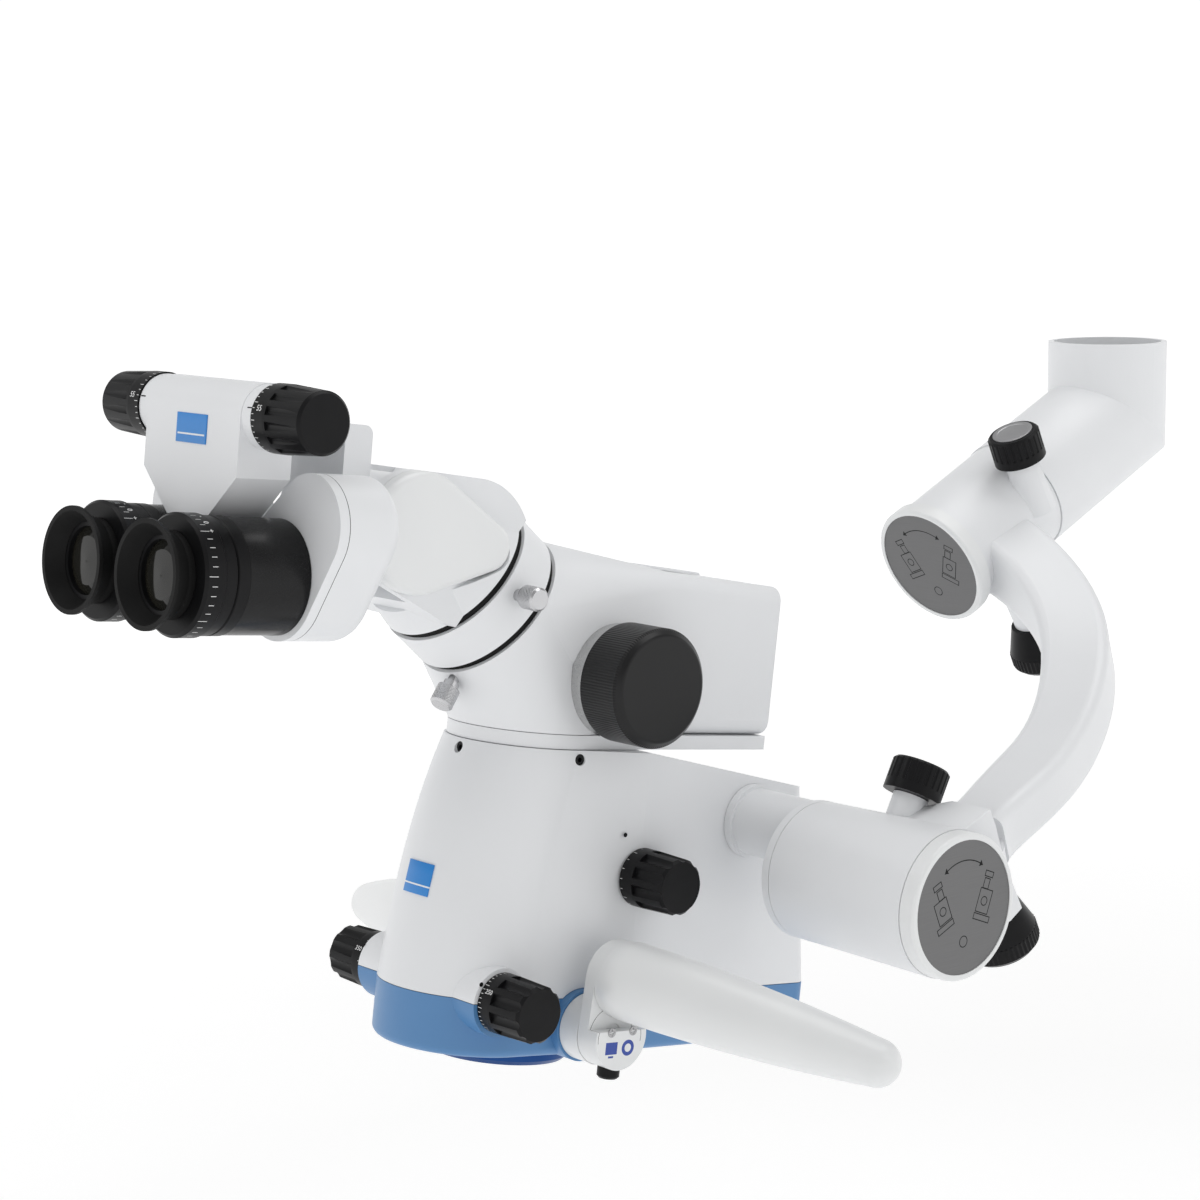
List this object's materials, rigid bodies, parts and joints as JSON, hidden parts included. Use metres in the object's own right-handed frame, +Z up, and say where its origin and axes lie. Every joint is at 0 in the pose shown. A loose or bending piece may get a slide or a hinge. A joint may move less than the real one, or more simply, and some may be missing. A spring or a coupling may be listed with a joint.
{
  "type": "surgical microscope",
  "caption": "White operating microscope head with inclinable binocular tube, blue base, side handles and control knobs, hung from a curved pendulum arm on an elbow tube.",
  "frame": {"origin": "centre of the upper end of the vertical stand tube", "axes": "+Z up along the vertical tube, +X to the operator's right, +Y the way the operator looks"},
  "size_m": [0.3728, 0.65, 0.3268],
  "materials": {
    "white_casting": "satin white powder coat",
    "white_plastic": "satin moulded",
    "blue_plastic": "satin moulded",
    "deep_blue": "anodised",
    "black_plastic": "fine satin",
    "black_metal": "black anodised",
    "black_rubber": "matt",
    "machined_metal": "turned",
    "disc_metal": "brushed and printed",
    "bright_steel": "knurled bright",
    "bearing_steel": "ground",
    "bronze": "turned",
    "optical_glass": "coated",
    "mirror_glass": "front silvered"
  },
  "bodies": {
    "stand": {"elbow_tube": "white_casting", "pendulum_axle": "bearing_steel"},
    "arm": {"swing_arm": "white_casting", "axle_bearings": "bearing_steel", "tilt_bushings": "bronze", "end_caps": "white_plastic", "disc_plates": "disc_metal"},
    "swing_brake": {"swing_brake_knob": "black_plastic"},
    "tilt_brake": {"tilt_brake_knob": "black_plastic"},
    "swing_tension": {"swing_tension_knob": "black_plastic"},
    "tilt_tension": {"tilt_tension_knob": "black_plastic"},
    "head": {"tilt_spindle": "white_casting", "tilt_shaft": "white_casting", "body_housing": "white_casting", "base_cover": "blue_plastic", "objective_ring": "deep_blue", "objective_lens": "optical_glass", "dovetail_plate": "machined_metal", "set_screws": "black_metal", "neck_base": "white_casting", "neck_housing": "white_casting", "neck_lid": "white_casting", "port_collar": "machined_metal", "handle_bases": "white_plastic"},
    "magnification": {"magnification_drum": "black_metal", "mag_knob_right": "black_plastic", "mag_knob_left": "black_plastic"},
    "focus": {"focus_shaft": "bearing_steel", "focus_knob_right": "black_plastic", "focus_knob_left": "black_plastic"},
    "focus_cell": {"focus_lens_cell": "black_metal"},
    "port": {"port_cap": "black_metal"},
    "neck_screw": {"neck_thumbscrew": "bright_steel"},
    "ring_screw": {"ring_thumbscrew": "bright_steel"},
    "right_handle": {"handle_arm_right": "white_plastic"},
    "left_handle": {"handle_arm_left": "white_plastic"},
    "right_grip": {"handle_grip_right": "white_plastic"},
    "left_grip": {"handle_grip_left": "white_plastic"},
    "button": {"handle_button": "black_plastic"},
    "tube": {"rotation_ring": "white_casting", "ring_seals": "black_rubber", "tube_body": "white_casting", "hinge_covers": "white_plastic", "hinge_pin": "bearing_steel"},
    "mirror": {"tube_mirror": "mirror_glass"},
    "binocular": {"carrier": "white_casting", "pd_cover": "white_casting"},
    "pd": {"pd_spindle": "bearing_steel", "pd_knob_right": "black_plastic", "pd_knob_left": "black_plastic"},
    "right_eye": {"prism_housing_right": "white_casting", "eyepiece_tube_right": "black_metal"},
    "left_eye": {"prism_housing_left": "white_casting", "eyepiece_tube_left": "black_metal"},
    "right_dial": {"diopter_ring_right": "black_metal", "eyepiece_lens_right": "optical_glass"},
    "left_dial": {"diopter_ring_left": "black_metal", "eyepiece_lens_left": "optical_glass"},
    "right_cup": {"eyecup_right": "black_rubber"},
    "left_cup": {"eyecup_left": "black_rubber"}
  },
  "joints": [
    {"name": "arm_swing", "type": "hinge", "parent": "stand", "child": "arm", "pos_m": [0, 0, -0.042], "axis": [0, -0.9063, -0.4226], "range_deg": [-40, 40]},
    {"name": "head_tilt", "type": "hinge", "parent": "arm", "child": "head", "pos_m": [0, -0.3095, -0.2165], "axis": [1, 0, 0], "range_deg": [-35, 50]},
    {"name": "swing_brake_turn", "type": "hinge", "parent": "arm", "child": "swing_brake", "pos_m": [0.0245, -0.08429, -0.0813], "axis": [0, -0.4226, 0.9063], "range_deg": [-90, 90]},
    {"name": "tilt_brake_turn", "type": "hinge", "parent": "arm", "child": "tilt_brake", "pos_m": [0.128, -0.3095, -0.2165], "axis": [0, 0.4848, 0.8746], "range_deg": [-90, 90]},
    {"name": "swing_tension_turn", "type": "hinge", "parent": "arm", "child": "swing_tension", "pos_m": [0.02, -0.10151, -0.08933], "axis": [0, 0.4226, -0.9063], "range_deg": [-180, 180]},
    {"name": "tilt_tension_turn", "type": "hinge", "parent": "arm", "child": "tilt_tension", "pos_m": [0.15, -0.2679, -0.2165], "axis": [0, 0.4226, -0.9063], "range_deg": [-180, 180]},
    {"name": "magnification_turn", "type": "hinge", "parent": "head", "child": "magnification", "pos_m": [0, -0.37521, -0.21639], "axis": [1, 0, 0], "continuous": true},
    {"name": "focus_turn", "type": "hinge", "parent": "head", "child": "focus", "pos_m": [0, -0.45381, -0.25863], "axis": [1, 0, 0], "range_deg": [-150, 150]},
    {"name": "focus_cell_slide", "type": "slide", "parent": "head", "child": "focus_cell", "axis": [0, 0.1478, 0.989], "range_m": [-0.00549, 0.00549]},
    {"name": "port_cap_turn", "type": "hinge", "parent": "head", "child": "port", "pos_m": [0, -0.38211, -0.12729], "axis": [1, 0, 0], "continuous": true},
    {"name": "neck_screw_turn", "type": "hinge", "parent": "head", "child": "neck_screw", "pos_m": [0.00646, -0.44817, -0.12133], "axis": [0.1736, -0.6779, -0.7144], "continuous": true},
    {"name": "ring_screw_turn", "type": "hinge", "parent": "tube", "child": "ring_screw", "pos_m": [0.03718, -0.43712, -0.08311], "axis": [0.9994, -0.024, -0.0253], "continuous": true},
    {"name": "right_handle_tilt", "type": "hinge", "parent": "head", "child": "right_handle", "pos_m": [0, -0.41009, -0.2773], "axis": [1, 0, 0], "range_deg": [-30, 30]},
    {"name": "left_handle_tilt", "type": "hinge", "parent": "head", "child": "left_handle", "pos_m": [0, -0.41009, -0.2773], "axis": [-1, 0, 0], "range_deg": [-30, 30]},
    {"name": "right_grip_turn", "type": "hinge", "parent": "right_handle", "child": "right_grip", "pos_m": [0.058, -0.40321, -0.25356], "axis": [1, 0, 0], "range_deg": [-30, 30]},
    {"name": "left_grip_turn", "type": "hinge", "parent": "left_handle", "child": "left_grip", "pos_m": [-0.058, -0.40321, -0.25356], "axis": [-1, 0, 0], "range_deg": [-30, 30]},
    {"name": "button_press", "type": "slide", "parent": "right_handle", "child": "button", "axis": [0, 0.1478, 0.989], "range_m": [0, 0.002], "stiffness_N_per_m": 400, "springref_m": -0.0005},
    {"name": "tube_rotation", "type": "hinge", "parent": "head", "child": "tube", "pos_m": [0, -0.42658, -0.09132], "axis": [0, -0.7254, 0.6884], "range_deg": [-45, 45]},
    {"name": "tube_incline", "type": "hinge", "parent": "tube", "child": "binocular", "pos_m": [0, -0.4859, -0.05213], "axis": [1, 0, 0], "range_deg": [-50, 35]},
    {"name": "mirror_tilt", "type": "hinge", "parent": "tube", "child": "mirror", "pos_m": [0, -0.4859, -0.05213], "axis": [1, 0, 0], "range_deg": [-25, 17.5]},
    {"name": "eye_distance_turn", "type": "hinge", "parent": "binocular", "child": "pd", "pos_m": [0, -0.56012, 0.00142], "axis": [1, 0, 0], "range_deg": [-57, 229]},
    {"name": "right_eye_slide", "type": "slide", "parent": "binocular", "child": "right_eye", "axis": [1, 0, 0], "range_m": [-0.00248, 0.00999]},
    {"name": "left_eye_slide", "type": "slide", "parent": "binocular", "child": "left_eye", "axis": [-1, 0, 0], "range_m": [-0.0025, 0.01]},
    {"name": "right_dioptre_turn", "type": "hinge", "parent": "right_eye", "child": "right_dial", "pos_m": [0.0275, -0.48831, -0.07178], "axis": [0, -0.9925, 0.1219], "range_deg": [-120, 120]},
    {"name": "left_dioptre_turn", "type": "hinge", "parent": "left_eye", "child": "left_dial", "pos_m": [-0.0275, -0.48831, -0.07178], "axis": [0, -0.9925, 0.1219], "range_deg": [-120, 120]},
    {"name": "right_cup_slide", "type": "slide", "parent": "right_dial", "child": "right_cup", "axis": [0, -0.9925, 0.1219], "range_m": [0, 0.003]},
    {"name": "left_cup_slide", "type": "slide", "parent": "left_dial", "child": "left_cup", "axis": [0, -0.9925, 0.1219], "range_m": [0, 0.003]}
  ],
  "couplings": [
    {"joint": "focus_turn", "follows": "focus_cell_slide", "rad_per_m": 476.19},
    {"joint": "mirror_tilt", "follows": "tube_incline", "ratio": 0.5},
    {"joint": "eye_distance_turn", "follows": "right_eye_slide", "rad_per_m": 400},
    {"joint": "left_eye_slide", "follows": "right_eye_slide", "ratio": 1}
  ]
}
